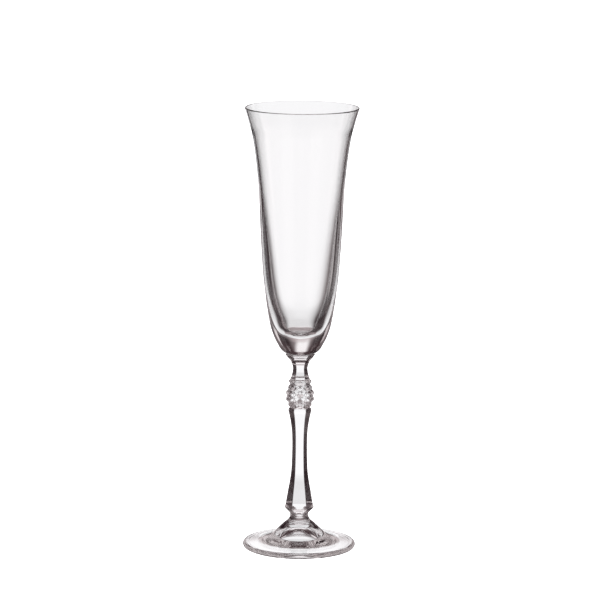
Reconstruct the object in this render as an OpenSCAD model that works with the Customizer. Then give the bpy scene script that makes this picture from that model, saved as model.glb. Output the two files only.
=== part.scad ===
// Champagne flute of clear crystal glass, on a pressed stem with a studded knop.
// Millimetres, +Z up. The origin is the centre of the foot, on the surface it stands on.
// A hexagonal part has corners on the X axis and a flat face towards -Y.

/* [Bowl] */
// Height of the whole glass
glass_h = 265; // [250:1:280]
// Diameter over the flared rim
rim_d = 67.6; // [64:0.2:70]
// Diameter at half of the bowl's height
body_d = 48.6; // [46:0.2:50]
// Thickness of the lip
lip_t = 1.1; // [0.9:0.1:1.4]
// Height at which the bowl stands on the stem
bowl_z = 118; // [116:0.5:120]
// Diameter over the lower edge of the bowl
base_d = 22.2; // [20:0.2:23]
// Diameter of the groove between the bowl and the collar
groove_d = 16.6; // [16:0.1:17]
// Thickness of the solid glass under the wine
base_t = 11.8; // [9:0.1:13]

/* [Stem] */
// Corner radius of the collar under the bowl
collar_r = 8.85; // [8.4:0.05:9.2]
// Corner radius of the slimmest place in the neck
neck_r = 4.45; // [4:0.05:4.8]
// Corner radius of the ring over the knop
ring_r = 7.35; // [7:0.05:7.7]
// Corner radius of the slimmest place in the shaft
shaft_r = 4.6; // [4.2:0.05:5]
// Corner radius of the ring at the bottom of the shaft
heel_r = 8.95; // [8.6:0.05:9.4]

/* [Knop] */
// Diameter over the tips of the two middle rows of studs
knop_d = 17.5; // [16.8:0.1:18]
// Studs in one row
stud_columns = 12; // [8:1:16]

/* [Foot] */
// Diameter of the foot
foot_d = 67.4; // [64:0.2:72]
// Thickness of the foot's edge
edge_t = 3.6; // [2.4:0.1:4]
// Diameter of the hollow under the middle of the foot
hollow_d = 22; // [18:0.2:26]
// Height of the hollow
hollow_h = 8.7; // [5:0.1:10]

/* [Hidden] */

// Faces round a turned part, steps in one stretch of a curve, and sides of a faceted ring
$fn = 96;
curve_steps = 5;
facet_sides = 24;
hex_flat = cos(30);

// Heights at which the pieces meet, from the foot up, and radii of the round faces where they meet
foot_top = 19.2;
knop_bottom = 85.2;
knop_top = 99.2;
groove_r = groove_d / 2;
neck_joint_r = 5.95;
shaft_joint_r = 6;
stem_foot_r = 5.5;

glass = [0.93, 0.95, 0.96, 0.45];

// A smooth curve through points: a Catmull-Rom spline whose ends run on straight
function spline(p, a, b, c, t) =
    0.5 * (2 * p[b] + (p[c] - p[a]) * t
        + (2 * p[a] - 5 * p[b] + 4 * p[c] - p[min(c + 1, len(p) - 1)]) * t * t
        + (3 * p[b] - p[a] - 3 * p[c] + p[min(c + 1, len(p) - 1)]) * t * t * t);
function smooth(p, steps = curve_steps) = [
    for (i = [0 : len(p) - 2], s = [0 : steps - 1]) spline(p, max(i - 1, 0), i, i + 1, s / steps),
    p[len(p) - 1]
];

// Points on an arc of radius r about c, from one angle to another
function arc(c, r, from, to, steps = 8) = [
    for (s = [0 : steps]) let (a = from + (to - from) * s / steps) c + r * [cos(a), sin(a)]
];

// Outlines of the bowl, as [radius, height above the stem]. They end on the lip, a half-round
// edge that leans out with the flare.
bowl_h = glass_h - bowl_z;
base_r = base_d / 2;
body_r = body_d / 2;
lip_r = lip_t / 2;
lip_at = [rim_d / 2 - lip_r, bowl_h - lip_r];
lip_lean = 18;
lip = arc(lip_at, lip_r, -lip_lean, 180 - lip_lean);
bowl_under = [
    [0, 0],
    [groove_r, 0],
    [groove_r + 0.4, 0.4],
    [base_r - 1.35, 0.8],
    [base_r - 0.5, 1.25]
];
bowl_outside = [
    [base_r, 1.8],
    [base_r + 1.1, 3.1],
    [base_r + 2.4, 5.4],
    [0.65 * body_r, 10],
    [0.753 * body_r, 17.8],
    [0.85 * body_r, 32],
    [0.935 * body_r, 50],
    [body_r, 76],
    [body_r + 1.1, 98],
    [body_r + 2.7, 115],
    [body_r + 4.75, 129],
    [body_r + 6.75, bowl_h - 10],
    lip[0]
];
bowl_inside = [
    lip[len(lip) - 1],
    [body_r + 5.6, bowl_h - 10],
    [body_r + 3.3, 129],
    [body_r + 0.95, 114],
    [body_r - 1.5, 92],
    [body_r - 4.1, 68],
    [0.724 * body_r, 45],
    [0.613 * body_r, 31],
    [0.469 * body_r, 20.3],
    [0.355 * body_r, 14.9],
    [0.22 * body_r, base_t + 1.1],
    [0, base_t]
];

module bowl() {
    color(glass)
        translate([0, 0, bowl_z])
            rotate_extrude()
                polygon(concat(bowl_under, smooth(bowl_outside), lip, smooth(bowl_inside)));
}

// One ring of a faceted part: a circle of radius `round_r`, cut by six flats `flat_r` away from the axis
function ring_points(round_r, flat_r, z) = [
    for (i = [0 : facet_sides - 1])
        let (
            a = 360 * i / facet_sides,
            from_flat = (a % 60) - 30,
            r = min(round_r, flat_r / cos(from_flat))
        )
        [r * cos(a), r * sin(a), z]
];

// A closed solid through rings that all have the same number of points
module loft(rings) {
    n = len(rings[0]);
    last = (len(rings) - 1) * n;
    polyhedron(
        points = [for (ring = rings) each ring],
        faces = concat(
            [[for (i = [0 : n - 1]) i]],
            [[for (i = [n - 1 : -1 : 0]) last + i]],
            [
                for (k = [0 : len(rings) - 2], i = [0 : n - 1])
                    let (a = k * n + i, b = k * n + (i + 1) % n)
                    each [[a, a + n, b], [b, a + n, b + n]]
            ]
        )
    );
}

// A faceted part from its outline [corner radius, height, share of the corner radius that is round].
// A share of 1 keeps the corners sharp, and a share of hex_flat makes the ring a circle.
module faceted(outline) {
    loft([for (p = outline) ring_points(p[0] * p[2], p[0] * hex_flat, p[1])]);
}

neck_outline = concat(
    [
        [neck_joint_r / hex_flat, knop_top, hex_flat],
        [6.75, knop_top + 0.7, hex_flat + 0.05],
        [ring_r, knop_top + 1.8, 0.97],
        [6.4, knop_top + 2.7, 1]
    ],
    smooth([
        [5.75, knop_top + 3.6, 1],
        [4.95, knop_top + 6, 1],
        [neck_r, knop_top + 9.6, 1],
        [4.95, knop_top + 12, 1],
        [5.6, knop_top + 13.5, 1],
        [6.4, knop_top + 14.7, 1]
    ]),
    [
        [collar_r - 0.35, bowl_z - 1.5, 1],
        [collar_r, bowl_z - 0.8, 1],
        [collar_r - 0.1, bowl_z - 0.4, 0.98],
        [groove_r / hex_flat, bowl_z, hex_flat]
    ]
);

shaft_outline = concat(
    [
        [stem_foot_r / hex_flat, foot_top, hex_flat],
        [6.3, foot_top + 1.4, hex_flat],
        [7.4, foot_top + 2.7, hex_flat + 0.03],
        [8.6, foot_top + 4.2, 0.96],
        [heel_r, foot_top + 5.2, 0.99],
        [8.5, foot_top + 6.2, 1]
    ],
    smooth([
        [8.35, foot_top + 6.6, 1],
        [7.1, foot_top + 14, 1],
        [5.75, foot_top + 21.5, 1],
        [4.95, foot_top + 29, 1],
        [shaft_r, foot_top + 42, 1],
        [4.85, knop_bottom - 15, 1],
        [5.7, knop_bottom - 8, 1],
        [6.75, knop_bottom - 3, 1]
    ]),
    [
        [7.1, knop_bottom - 1.9, 1],
        [6.85, knop_bottom - 0.8, 1],
        [shaft_joint_r / hex_flat, knop_bottom, hex_flat]
    ]
);

module neck() {
    color(glass) faceted(neck_outline);
}

module shaft() {
    color(glass) faceted(shaft_outline);
}

// The knop has rows of four-sided studs. Heights and groove radii at the rows' edges, from the bottom,
// and radii of the tips halfway between.
row_edge_z = [0, 3.1, 7, 10.9, knop_top - knop_bottom];
groove_radii = [shaft_joint_r, 6.9, 7.8, 7.1, neck_joint_r];
tip_r = knop_d / 2;
stud_tips = [tip_r - 1.5, tip_r, tip_r, tip_r - 1.35];
stud_rows = len(stud_tips);
column_step = 360 / stud_columns;

function knop_point(r, lon, z) = [r * cos(lon), r * sin(lon), knop_bottom + z];

// Corners of the grid, row by row from the bottom, and then the tips of the studs
knop_corners = [
    for (row = [0 : stud_rows], column = [0 : stud_columns - 1])
        knop_point(groove_radii[row], column * column_step, row_edge_z[row])
];
knop_tips = [
    for (row = [0 : stud_rows - 1], column = [0 : stud_columns - 1])
        knop_point(stud_tips[row], (column + 0.5) * column_step, (row_edge_z[row] + row_edge_z[row + 1]) / 2)
];

module knop() {
    tips_at = len(knop_corners);
    color(glass)
        polyhedron(
            points = concat(knop_corners, knop_tips),
            faces = concat(
                [[for (i = [0 : stud_columns - 1]) i]],
                [[for (i = [stud_columns - 1 : -1 : 0]) stud_rows * stud_columns + i]],
                [
                    for (row = [0 : stud_rows - 1], column = [0 : stud_columns - 1])
                        let (
                            a = row * stud_columns + column,
                            b = row * stud_columns + (column + 1) % stud_columns,
                            c = b + stud_columns,
                            d = a + stud_columns,
                            tip = tips_at + a
                        )
                        each [[b, a, tip], [c, b, tip], [d, c, tip], [a, d, tip]]
                ]
            )
        );
}

// Outline of the foot, as [radius, height]. Underneath it stands on a ring, rises in a shallow dish,
// and has a bell-shaped hollow in the middle.
foot_r = foot_d / 2;
stand_r = 31.4;
edge_r = edge_t / 2;
edge_sweep = 75;
hollow_r = hollow_d / 2;
dish_h = 2.1;
foot_upper = [
    [stem_foot_r, foot_top],
    [5.9, 17.8],
    [7, 16.2],
    [8.8, 14.85],
    [10.5, 13.15]
];
foot_lower = [
    [11.1, 12.65],
    [12.9, 10.9],
    [16.1, 8],
    [19.8, 6.5],
    [23.8, 4.75],
    [28, 4.1],
    [foot_r - edge_r, edge_t]
];
foot_dish = [
    [29.6, 0],
    [28.8, 0.2],
    [19.9, 0.6 * dish_h],
    [hollow_r, dish_h]
];

// The hollow is a bell: a round top and sides that flare out into the dish. Its points are closer
// together near the rim.
hollow_steps = 16;
bell_top = 2.3;
bell_flare = 1.4;
bell_spacing = 1.3;
function hollow_point(s) = [
    hollow_r * s,
    dish_h + (hollow_h - dish_h) * pow(1 - pow(s, bell_top), bell_flare)
];

module foot() {
    color(glass)
        rotate_extrude()
            polygon(concat(
                [[0, foot_top]],
                smooth(foot_upper),
                smooth(foot_lower),
                arc([foot_r - edge_r, edge_r], edge_r, edge_sweep, -edge_sweep),
                [[stand_r, 0]],
                smooth(foot_dish),
                [for (i = [1 : hollow_steps]) hollow_point(1 - pow(i / hollow_steps, bell_spacing))]
            ));
}

bowl();
neck();
knop();
shaft();
foot();
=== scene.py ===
"""Looks of the champagne flute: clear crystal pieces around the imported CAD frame, in a white studio.

Lengths in the outlines are millimetres, as in the design, and become metres when a mesh is made.
"""

import math

import bpy
import numpy as np
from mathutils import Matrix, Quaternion, Vector


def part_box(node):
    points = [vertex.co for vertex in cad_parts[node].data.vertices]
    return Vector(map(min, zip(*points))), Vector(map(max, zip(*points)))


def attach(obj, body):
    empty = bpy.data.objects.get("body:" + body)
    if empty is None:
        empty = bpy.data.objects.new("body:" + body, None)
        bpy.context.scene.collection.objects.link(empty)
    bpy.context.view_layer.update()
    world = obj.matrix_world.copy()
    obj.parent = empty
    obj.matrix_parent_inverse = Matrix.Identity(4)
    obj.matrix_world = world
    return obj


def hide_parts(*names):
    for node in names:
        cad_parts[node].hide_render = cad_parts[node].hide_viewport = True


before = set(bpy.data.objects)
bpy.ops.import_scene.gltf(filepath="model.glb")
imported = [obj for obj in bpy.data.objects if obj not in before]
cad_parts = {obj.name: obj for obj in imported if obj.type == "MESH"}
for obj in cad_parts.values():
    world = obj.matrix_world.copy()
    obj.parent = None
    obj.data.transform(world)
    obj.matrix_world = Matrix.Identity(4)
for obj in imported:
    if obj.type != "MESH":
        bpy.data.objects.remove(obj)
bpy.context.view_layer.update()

MM = 0.001
SIDES = 192
CURVE_STEPS = 12
STEM_CURVE_STEPS = 6
HEX_FLAT = math.cos(math.radians(30))
# A length too small to see, which keeps two rings apart or an outline off the axis.
TINY = 0.01
# The share of a stretch that the rounding of a corner may take up.
ROUNDING_LIMIT = 0.45
# How far before a corner of the stem its rounding starts.
STEM_ROUNDING = 0.3

# Heights at which the pieces meet and the two widest radii, read from the frame, in millimetres.
GLASS_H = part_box("bowl")[1].z / MM
BOWL_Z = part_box("bowl")[0].z / MM
KNOP_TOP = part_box("neck")[0].z / MM
KNOP_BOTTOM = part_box("knop")[0].z / MM
FOOT_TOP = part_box("shaft")[0].z / MM
RIM_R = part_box("bowl")[1].x / MM
FOOT_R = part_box("foot")[1].x / MM


# ---------------------------------------------------------------- curves

def smooth(points, steps=CURVE_STEPS):
    """A Catmull-Rom curve through the points, whose ends run on straight."""
    p = [np.array(q, float) for q in points]
    out = []
    for i in range(len(p) - 1):
        a, b, c, d = p[max(i - 1, 0)], p[i], p[i + 1], p[min(i + 2, len(p) - 1)]
        for s in range(steps):
            t = s / steps
            out.append(
                0.5 * (2 * b + (c - a) * t + (2 * a - 5 * b + 4 * c - d) * t * t
                       + (3 * b - a - 3 * c + d) * t ** 3)
            )
    out.append(p[-1])
    return out


def arc(centre, radius, start, end, steps=16):
    """Points on an arc about centre, from one angle in degrees to another."""
    centre = np.array(centre, float)
    angles = np.radians(np.linspace(start, end, steps + 1))
    return [centre + radius * np.array([math.cos(a), math.sin(a)]) for a in angles]


def rounded(points, reach, steps=6):
    """The same outline with each corner replaced by a small curve that starts `reach` before it."""
    p = [np.array(q, float) for q in points]
    out = [p[0]]
    for before, corner, after in zip(p, p[1:], p[2:]):
        back, on = before - corner, after - corner
        cut_back = min(reach, ROUNDING_LIMIT * np.linalg.norm(back[:2]))
        cut_on = min(reach, ROUNDING_LIMIT * np.linalg.norm(on[:2]))
        start = corner + back * cut_back / np.linalg.norm(back[:2])
        end = corner + on * cut_on / np.linalg.norm(on[:2])
        for t in np.linspace(0, 1, steps + 1):
            out.append((1 - t) ** 2 * start + 2 * t * (1 - t) * corner + t * t * end)
    out.append(p[-1])
    return out


def soft_min(a, b, k):
    """The smaller of a and b, rounded over a width of k where they cross."""
    h = np.clip(0.5 + 0.5 * (b - a) / k, 0, 1)
    return b * (1 - h) + a * h - k * h * (1 - h)


# ---------------------------------------------------------------- meshes

ANGLES = np.arange(SIDES) * 2 * math.pi / SIDES


def ring(r, z):
    """A level ring of points. The radius is one number, or one for each angle."""
    return np.column_stack([r * np.cos(ANGLES), r * np.sin(ANGLES), np.full(SIDES, z)])


def hex_radius(flat, edge):
    """Distance from the axis to a hexagon with flats `flat` away and corners rounded to radius `edge`."""
    from_flat = np.abs((np.degrees(ANGLES) % 60) - 30)
    to_corner = np.radians(30 - from_flat)
    inner = (flat - edge) / HEX_FLAT
    on_arc = flat * np.tan(np.radians(from_flat)) > (flat - edge) * math.tan(math.radians(30))
    reach = np.sqrt(np.maximum(edge ** 2 - (inner * np.sin(to_corner)) ** 2, 0))
    return np.where(on_arc, inner * np.cos(to_corner) + reach, flat / np.cos(np.radians(from_flat)))


def faceted_ring(corner_r, z, share, edge=0.3, blend=0.12):
    """A circle of share * corner_r, cut by the six flats of a hexagon with that corner radius."""
    round_r = np.full(SIDES, corner_r * share)
    return ring(soft_min(round_r, hex_radius(corner_r * HEX_FLAT, edge), blend), z)


def piece(name, rings, node, skin, seam_bottom=False, seam_top=False):
    """A closed mesh through the rings, from the bottom up, with a flat cap at each end.

    A seam is an end where the glass goes on into the next piece, so its cap gets the seam material.
    An outline that ends on the axis stops a TINY length short of it, so its cap is too small to see.
    """
    faces = []
    for k in range(len(rings) - 1):
        below, above = k * SIDES, (k + 1) * SIDES
        for i in range(SIDES):
            j = (i + 1) % SIDES
            faces.append((below + i, below + j, above + j, above + i))
    walls = len(faces)
    last = (len(rings) - 1) * SIDES
    faces.append(tuple(range(SIDES - 1, -1, -1)))
    faces.append(tuple(last + i for i in range(SIDES)))
    mesh = bpy.data.meshes.new(name)
    mesh.from_pydata((np.vstack(rings) * MM).tolist(), [], faces)
    mesh.validate()
    mesh.polygons.foreach_set("use_smooth", [True] * len(mesh.polygons))
    mesh.materials.append(skin)
    mesh.materials.append(SEAM)
    for cap, seam in ((walls, seam_bottom), (walls + 1, seam_top)):
        if seam:
            mesh.polygons[cap].material_index = 1
            mesh.polygons[cap].use_smooth = False
    obj = bpy.data.objects.new(name, mesh)
    bpy.context.scene.collection.objects.link(obj)
    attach(obj, "root")
    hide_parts(node)
    return obj


# ---------------------------------------------------------------- materials

CRYSTAL_IOR = 1.53


def glass(name, tint, wave_size, wave_depth):
    """Clear crystal with the faint unevenness of hot-worked glass; its waves are given in metres."""
    mat = bpy.data.materials.new(name)
    mat.use_nodes = True
    nodes, links = mat.node_tree.nodes, mat.node_tree.links
    shader = nodes["Principled BSDF"]
    shader.inputs["Base Color"].default_value = (*tint, 1)
    shader.inputs["Transmission Weight"].default_value = 1
    shader.inputs["IOR"].default_value = CRYSTAL_IOR
    shader.inputs["Roughness"].default_value = 0
    where = nodes.new("ShaderNodeTexCoord")
    waves = nodes.new("ShaderNodeTexNoise")
    waves.inputs["Scale"].default_value = 1 / wave_size
    waves.inputs["Detail"].default_value = 1
    bump = nodes.new("ShaderNodeBump")
    bump.inputs["Strength"].default_value = 1
    bump.inputs["Distance"].default_value = wave_depth
    links.new(where.outputs["Object"], waves.inputs["Vector"])
    links.new(waves.outputs["Fac"], bump.inputs["Height"])
    links.new(bump.outputs["Normal"], shader.inputs["Normal"])
    return mat


def seam_material():
    """The face inside a hot joint, where glass meets glass: nothing shows."""
    mat = bpy.data.materials.new("fused_seam")
    mat.use_nodes = True
    shader = mat.node_tree.nodes["Principled BSDF"]
    shader.inputs["Base Color"].default_value = (1, 1, 1, 1)
    shader.inputs["Alpha"].default_value = 0
    return mat


SEAM = seam_material()
BOWL_GLASS = glass("bowl_glass", (0.995, 0.995, 0.995), 0.03, 0.000004)
STEM_GLASS = glass("stem_glass", (0.99, 0.99, 0.993), 0.008, 0.000003)
KNOP_GLASS = glass("knop_glass", (0.99, 0.99, 0.993), 0.004, 0.000004)
FOOT_GLASS = glass("foot_glass", (0.99, 0.992, 0.995), 0.02, 0.000004)


# ---------------------------------------------------------------- bowl

BASE_R = 11.1
GROOVE_R = 8.3
BASE_T = 11.8
BODY_R = 24.3
LIP_T = 1.1
LIP_LEAN = 18
COLLAR_R = 8.85


def build_bowl():
    h = GLASS_H - BOWL_Z
    lip_r = LIP_T / 2
    lip = arc((RIM_R - lip_r, h - lip_r), lip_r, -LIP_LEAN, 180 - LIP_LEAN)
    outside = [
        (BASE_R, 1.8),
        (BASE_R + 1.1, 3.1),
        (BASE_R + 2.4, 5.4),
        (0.65 * BODY_R, 10),
        (0.753 * BODY_R, 17.8),
        (0.85 * BODY_R, 32),
        (0.935 * BODY_R, 50),
        (BODY_R, 76),
        (BODY_R + 1.1, 98),
        (BODY_R + 2.7, 115),
        (BODY_R + 4.75, 129),
        (BODY_R + 6.75, h - 10),
        lip[0],
    ]
    inside = [
        lip[-1],
        (BODY_R + 5.6, h - 10),
        (BODY_R + 3.3, 129),
        (BODY_R + 0.95, 114),
        (BODY_R - 1.5, 92),
        (BODY_R - 4.1, 68),
        (0.724 * BODY_R, 45),
        (0.613 * BODY_R, 31),
        (0.469 * BODY_R, 20.3),
        (0.355 * BODY_R, 14.9),
        (0.22 * BODY_R, BASE_T + 1.1),
        (TINY, BASE_T),
    ]
    under = rounded([(GROOVE_R, 0), (GROOVE_R + 0.4, 0.4), (BASE_R - 0.9, 0.95), (BASE_R, 1.8)], 0.5)
    outline = under + smooth(outside)[1:] + lip[1:] + smooth(inside)[1:]
    rings = [ring(r, BOWL_Z + z) for r, z in outline]
    return piece("flute_bowl", rings, "bowl", BOWL_GLASS, seam_bottom=True)


# ---------------------------------------------------------------- stem

NECK_JOINT_R = 5.95
SHAFT_JOINT_R = 6.0
NECK_R = 4.45
RING_R = 7.35
SHAFT_R = 4.6
HEEL_R = 8.95
STEM_FOOT_R = 5.5


def build_neck():
    z = KNOP_TOP
    waist = smooth([
        (5.75, z + 3.6, 1),
        (4.95, z + 6, 1),
        (NECK_R, z + 9.6, 1),
        (4.95, z + 12, 1),
        (5.6, z + 13.5, 1),
        (6.4, z + 14.7, 1),
    ], STEM_CURVE_STEPS)
    outline = rounded([
        (NECK_JOINT_R / HEX_FLAT, z, HEX_FLAT),
        (6.75, z + 0.7, HEX_FLAT + 0.05),
        (RING_R, z + 1.8, 0.97),
        (6.4, z + 2.7, 1),
        *waist,
        (COLLAR_R - 0.35, BOWL_Z - 1.5, 1),
        (COLLAR_R, BOWL_Z - 0.8, 1),
        (COLLAR_R - 0.1, BOWL_Z - 0.4, 0.98),
        (GROOVE_R / HEX_FLAT, BOWL_Z, HEX_FLAT),
    ], STEM_ROUNDING)
    rings = [faceted_ring(*p) for p in outline]
    return piece("flute_neck", rings, "neck", STEM_GLASS, seam_bottom=True, seam_top=True)


def build_shaft():
    f, k = FOOT_TOP, KNOP_BOTTOM
    baluster = smooth([
        (8.35, f + 6.6, 1),
        (7.1, f + 14, 1),
        (5.75, f + 21.5, 1),
        (4.95, f + 29, 1),
        (SHAFT_R, f + 42, 1),
        (4.85, k - 15, 1),
        (5.7, k - 8, 1),
        (6.75, k - 3, 1),
    ], STEM_CURVE_STEPS)
    outline = rounded([
        (STEM_FOOT_R / HEX_FLAT, f, HEX_FLAT),
        (6.3, f + 1.4, HEX_FLAT),
        (7.4, f + 2.7, HEX_FLAT + 0.03),
        (8.6, f + 4.2, 0.96),
        (HEEL_R, f + 5.2, 0.99),
        (8.5, f + 6.2, 1),
        *baluster,
        (7.1, k - 1.9, 1),
        (6.85, k - 0.8, 1),
        (SHAFT_JOINT_R / HEX_FLAT, k, HEX_FLAT),
    ], STEM_ROUNDING)
    rings = [faceted_ring(*p) for p in outline]
    return piece("flute_shaft", rings, "shaft", STEM_GLASS, seam_bottom=True, seam_top=True)


# ---------------------------------------------------------------- knop

# Rows of studs from the bottom: heights and groove radii at the rows' edges, and radii of the tips
# halfway between.
ROW_EDGE_Z = (0, 3.1, 7, 10.9, 14)
GROOVE_RADII = (SHAFT_JOINT_R, 6.9, 7.8, 7.1, NECK_JOINT_R)
STUD_TIPS = (7.25, 8.75, 8.75, 7.4)
STUD_COLUMNS = 12
RIDGE_SOFTNESS = 0.06
RINGS_PER_ROW = 24


def build_knop():
    """The studded ball: a height field over the grid of studs, with slightly rounded ridges."""
    across = (np.degrees(ANGLES) / (360 / STUD_COLUMNS)) % 1
    u = 1 - np.abs(2 * across - 1)
    rings = []
    for row, tip in enumerate(STUD_TIPS):
        low, high = ROW_EDGE_Z[row:row + 2]
        groove_low, groove_high = GROOVE_RADII[row:row + 2]
        for step in range(RINGS_PER_ROW):
            t = step / RINGS_PER_ROW
            groove = groove_low + (groove_high - groove_low) * t
            v = 1 - abs(2 * t - 1)
            peak = soft_min(u, np.full(SIDES, v), RIDGE_SOFTNESS)
            r = groove + (tip - (groove_low + groove_high) / 2) * np.maximum(peak, 0)
            z = KNOP_BOTTOM + low + (high - low) * t
            rings.append(ring(r, z))
    rings.append(ring(NECK_JOINT_R, KNOP_TOP))
    return piece("flute_knop", rings, "knop", KNOP_GLASS, seam_bottom=True, seam_top=True)


# ---------------------------------------------------------------- foot

STAND_R = 31.4
EDGE_T = 3.6
EDGE_SWEEP = 75
DISH_H = 2.1
HOLLOW_H = 8.7
HOLLOW_R = 11
HOLLOW_STEPS = 40
BELL_TOP = 2.3
BELL_FLARE = 1.4
BELL_SPACING = 1.3


def build_foot():
    """The foot stands on a narrow ring. Inside that are a shallow dish and a bell-shaped hollow."""
    edge_r = EDGE_T / 2
    upper = smooth([(STEM_FOOT_R, FOOT_TOP), (5.9, 17.8), (7.0, 16.2), (8.8, 14.85), (10.5, 13.15)])
    lower = smooth([
        (11.1, 12.65),
        (12.9, 10.9),
        (16.1, 8),
        (19.8, 6.5),
        (23.8, 4.75),
        (28, 4.1),
        (FOOT_R - edge_r, EDGE_T),
    ])
    edge = arc((FOOT_R - edge_r, edge_r), edge_r, EDGE_SWEEP, -EDGE_SWEEP)
    dish = smooth([(29.6, 0), (28.8, 0.2), (19.9, 0.6 * DISH_H), (HOLLOW_R + TINY, DISH_H)])
    hollow = []
    for step in range(HOLLOW_STEPS + 1):
        out = 1 - (step / HOLLOW_STEPS) ** BELL_SPACING
        rise = (1 - out ** BELL_TOP) ** BELL_FLARE
        hollow.append(np.array([max(HOLLOW_R * out, TINY), DISH_H + (HOLLOW_H - DISH_H) * rise]))
    outline = upper + lower + edge + [np.array([STAND_R, 0])] + dish + hollow
    rings = [ring(r, z) for r, z in reversed(outline)]
    return piece("flute_foot", rings, "foot", FOOT_GLASS, seam_top=True)


# ---------------------------------------------------------------- camera and studio

# Place in metres, angles in degrees, lens and sensor in millimetres. The pitch is how far the camera
# looks down.
CAMERA_AT = Vector((-0.00045, -2.015, 0.511))
CAMERA_PITCH = 10.157
CAMERA_ROLL = 0.44
CAMERA_LENS = 207.2
SENSOR_WIDTH = 36


def make_camera():
    data = bpy.data.cameras.new("camera")
    data.lens = CAMERA_LENS
    data.sensor_width = SENSOR_WIDTH
    cam = bpy.data.objects.new("camera", data)
    bpy.context.scene.collection.objects.link(cam)
    cam.location = CAMERA_AT
    cam.rotation_mode = "QUATERNION"
    look = Quaternion((1, 0, 0), math.radians(90 - CAMERA_PITCH))
    cam.rotation_quaternion = look @ Quaternion((0, 0, 1), math.radians(CAMERA_ROLL))
    bpy.context.scene.camera = cam
    return cam


def glow_material(name, colour, strength, core_u, core_v):
    """Light that is full in the core of the panel, fades to its edges and adds to what is behind."""
    mat = bpy.data.materials.new(name)
    mat.use_nodes = True
    nodes, links = mat.node_tree.nodes, mat.node_tree.links
    nodes.clear()
    where = nodes.new("ShaderNodeTexCoord")
    split = nodes.new("ShaderNodeSeparateXYZ")
    links.new(where.outputs["UV"], split.inputs["Vector"])
    level = nodes.new("ShaderNodeMath")
    level.operation = "MULTIPLY"
    for socket, (axis, core) in zip(level.inputs, (("X", core_u), ("Y", core_v))):
        off = nodes.new("ShaderNodeMath")
        off.operation = "ABSOLUTE"
        fade = nodes.new("ShaderNodeMapRange")
        fade.interpolation_type = "SMOOTHSTEP"
        fade.inputs["From Min"].default_value = 1
        fade.inputs["From Max"].default_value = core
        links.new(split.outputs[axis], off.inputs[0])
        links.new(off.outputs[0], fade.inputs["Value"])
        links.new(fade.outputs["Result"], socket)
    scaled = nodes.new("ShaderNodeMath")
    scaled.operation = "MULTIPLY"
    scaled.inputs[1].default_value = strength
    links.new(level.outputs[0], scaled.inputs[0])
    light = nodes.new("ShaderNodeEmission")
    light.inputs["Color"].default_value = (*colour, 1)
    links.new(scaled.outputs[0], light.inputs["Strength"])
    clear = nodes.new("ShaderNodeBsdfTransparent")
    both = nodes.new("ShaderNodeAddShader")
    links.new(light.outputs[0], both.inputs[0])
    links.new(clear.outputs[0], both.inputs[1])
    out = nodes.new("ShaderNodeOutputMaterial")
    links.new(both.outputs[0], out.inputs["Surface"])
    return mat


# The panels lie on spheres about the middle of the glass, one PANEL_GAP outside the other, in metres.
STUDIO_CENTRE = Vector((0, 0, 0.13))
STUDIO_R = 12.0
PANEL_GAP = 0.05
PANEL_STEPS = 24


def glow(name, camera, azimuth, elevation, colour, strength, core, top=None):
    """A curved panel of light round the glass.

    Azimuth and elevation are pairs of degrees, from the left to the right and from the bottom to the
    top; `top` is the azimuth at the top where it differs. Azimuth 0 is straight behind the glass, 90 to
    its right. `core` is the share of the width and of the height that is fully lit. The panel is
    parented to the camera, so it turns with it.
    """
    verts = []
    uvs = []
    faces = []
    steps = PANEL_STEPS
    distance = STUDIO_R + PANEL_GAP * glow.count
    for j in range(steps + 1):
        e = math.radians(elevation[0] + (elevation[1] - elevation[0]) * j / steps)
        left, right = Vector(azimuth).lerp(Vector(top or azimuth), j / steps)
        for i in range(steps + 1):
            a = math.radians(left + (right - left) * i / steps)
            away = Vector((math.sin(a) * math.cos(e), math.cos(a) * math.cos(e), math.sin(e)))
            verts.append(STUDIO_CENTRE + away * distance)
            uvs.append((2 * i / steps - 1, 2 * j / steps - 1))
    row = steps + 1
    for j in range(steps):
        for i in range(steps):
            corner = j * row + i
            faces.append((corner, corner + 1, corner + row + 1, corner + row))
    mesh = bpy.data.meshes.new(name)
    mesh.from_pydata(verts, [], faces)
    layer = mesh.uv_layers.new(name="place")
    for loop in mesh.loops:
        layer.data[loop.index].uv = uvs[loop.vertex_index]
    mesh.materials.append(glow_material(name + "_light", colour, strength, *core))
    obj = bpy.data.objects.new(name, mesh)
    bpy.context.scene.collection.objects.link(obj)
    obj.parent = camera
    obj.matrix_parent_inverse = camera.matrix_world.inverted()
    glow.count += 1
    return obj


# How many panels there are so far, which sets the next one's distance.
glow.count = 0

ROOM_COLOUR = (0.014, 0.006, 0.008, 1)
LIGHT_BOUNCES = 64


def make_world():
    """A dim reddish room that the camera itself sees as pure white, as in a cut-out product shot."""
    world = bpy.data.worlds.new("dim_room")
    bpy.context.scene.world = world
    world.use_nodes = True
    nodes, links = world.node_tree.nodes, world.node_tree.links
    room = nodes["Background"]
    room.inputs["Color"].default_value = ROOM_COLOUR
    white = nodes.new("ShaderNodeBackground")
    white.inputs["Color"].default_value = (1, 1, 1, 1)
    kind = nodes.new("ShaderNodeLightPath")
    mix = nodes.new("ShaderNodeMixShader")
    links.new(kind.outputs["Is Camera Ray"], mix.inputs["Fac"])
    links.new(room.outputs[0], mix.inputs[1])
    links.new(white.outputs[0], mix.inputs[2])
    links.new(mix.outputs[0], nodes["World Output"].inputs["Surface"])


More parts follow.
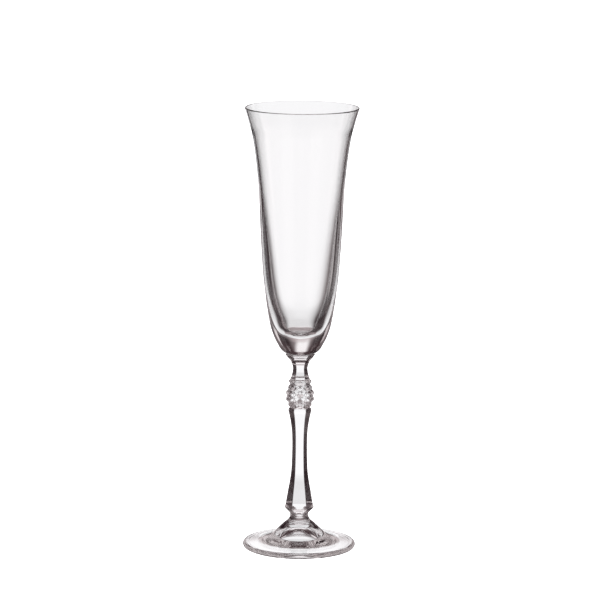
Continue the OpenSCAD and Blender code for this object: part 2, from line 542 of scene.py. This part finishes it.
def make_studio(camera):
    """Bright panels behind the glass, a dim wall round them, and strips and a surround at the sides."""
    scene = bpy.context.scene
    scene.view_settings.view_transform = "Standard"
    scene.cycles.max_bounces = LIGHT_BOUNCES
    scene.cycles.transmission_bounces = LIGHT_BOUNCES
    scene.cycles.glossy_bounces = LIGHT_BOUNCES
    scene.cycles.transparent_max_bounces = LIGHT_BOUNCES
    bpy.context.view_layer.update()
    make_world()
    cool = (0.99, 1, 1.01)
    pale = (1, 0.93, 0.93)
    blush = (1, 0.86, 0.87)
    warm = (1, 0.7, 0.73)
    glow("backdrop", camera, (-40, 34), (-49, 10), cool, 0.8, core=(0.3, 0.75), top=(-17, 15))
    glow("backdrop_bright", camera, (-30, 25), (-24, 11), cool, 0.2, core=(0.3, 0.7), top=(-17, 13))
    glow("backdrop_upper", camera, (-32, 26), (8, 50), blush, 0.28, core=(0.3, 0.7), top=(-18, 16))
    glow("soft_box_upper", camera, (-18, 9), (12, 38), cool, 0.72, core=(0.35, 0.6), top=(-20, 18))
    glow("wall_band", camera, (-46, 46), (1, 17), blush, 0.24, core=(0.8, 0.5))
    glow("wall_left", camera, (-43, -24), (-12, 15), blush, 0.09, core=(0.6, 0.8))
    glow("wall_right", camera, (10, 42), (-24, 4), blush, 0.06, core=(0.8, 0.6))
    glow("wall_low", camera, (-50, 46), (-60, 10), warm, 0.012, core=(0.8, 0.8))
    glow("wall_upper", camera, (-60, 76), (14, 85), warm, 0.05, core=(0.8, 0.5))
    glow("table_far", camera, (-34, 34), (-80, -39), blush, 0.3, core=(0.1, 0.6), top=(-44, 36))
    glow("strip_left", camera, (-74, -46), (-5, 36), blush, 0.3, core=(0.3, 0.7))
    glow("strip_left_low", camera, (-100, -49), (-60, 10), blush, 0.2, core=(0.6, 0.7))
    glow("strip_right", camera, (46.5, 60), (-30, 36), pale, 0.42, core=(0.6, 0.6), top=(43, 62))
    glow("strip_right_low", camera, (60, 84), (-46, 20), pale, 0.36, core=(0.6, 0.4))
    glow("spark_left", camera, (-62, -46), (4, 34), pale, 0.4, core=(0.5, 0.6))
    glow("spark_right", camera, (42, 58), (10, 38), pale, 0.45, core=(0.5, 0.6))
    glow("surround", camera, (68, 292), (-52, 22), pale, 0.62, core=(0.9, 0.6))
    glow("surround_left", camera, (196, 240), (-50, 20), pale, 0.22, core=(0.4, 0.6))
    glow("surround_upper", camera, (80, 262), (-20, 80), blush, 0.2, core=(0.9, 0.1))


camera = make_camera()
make_studio(camera)
build_bowl()
build_neck()
build_knop()
build_shaft()
build_foot()
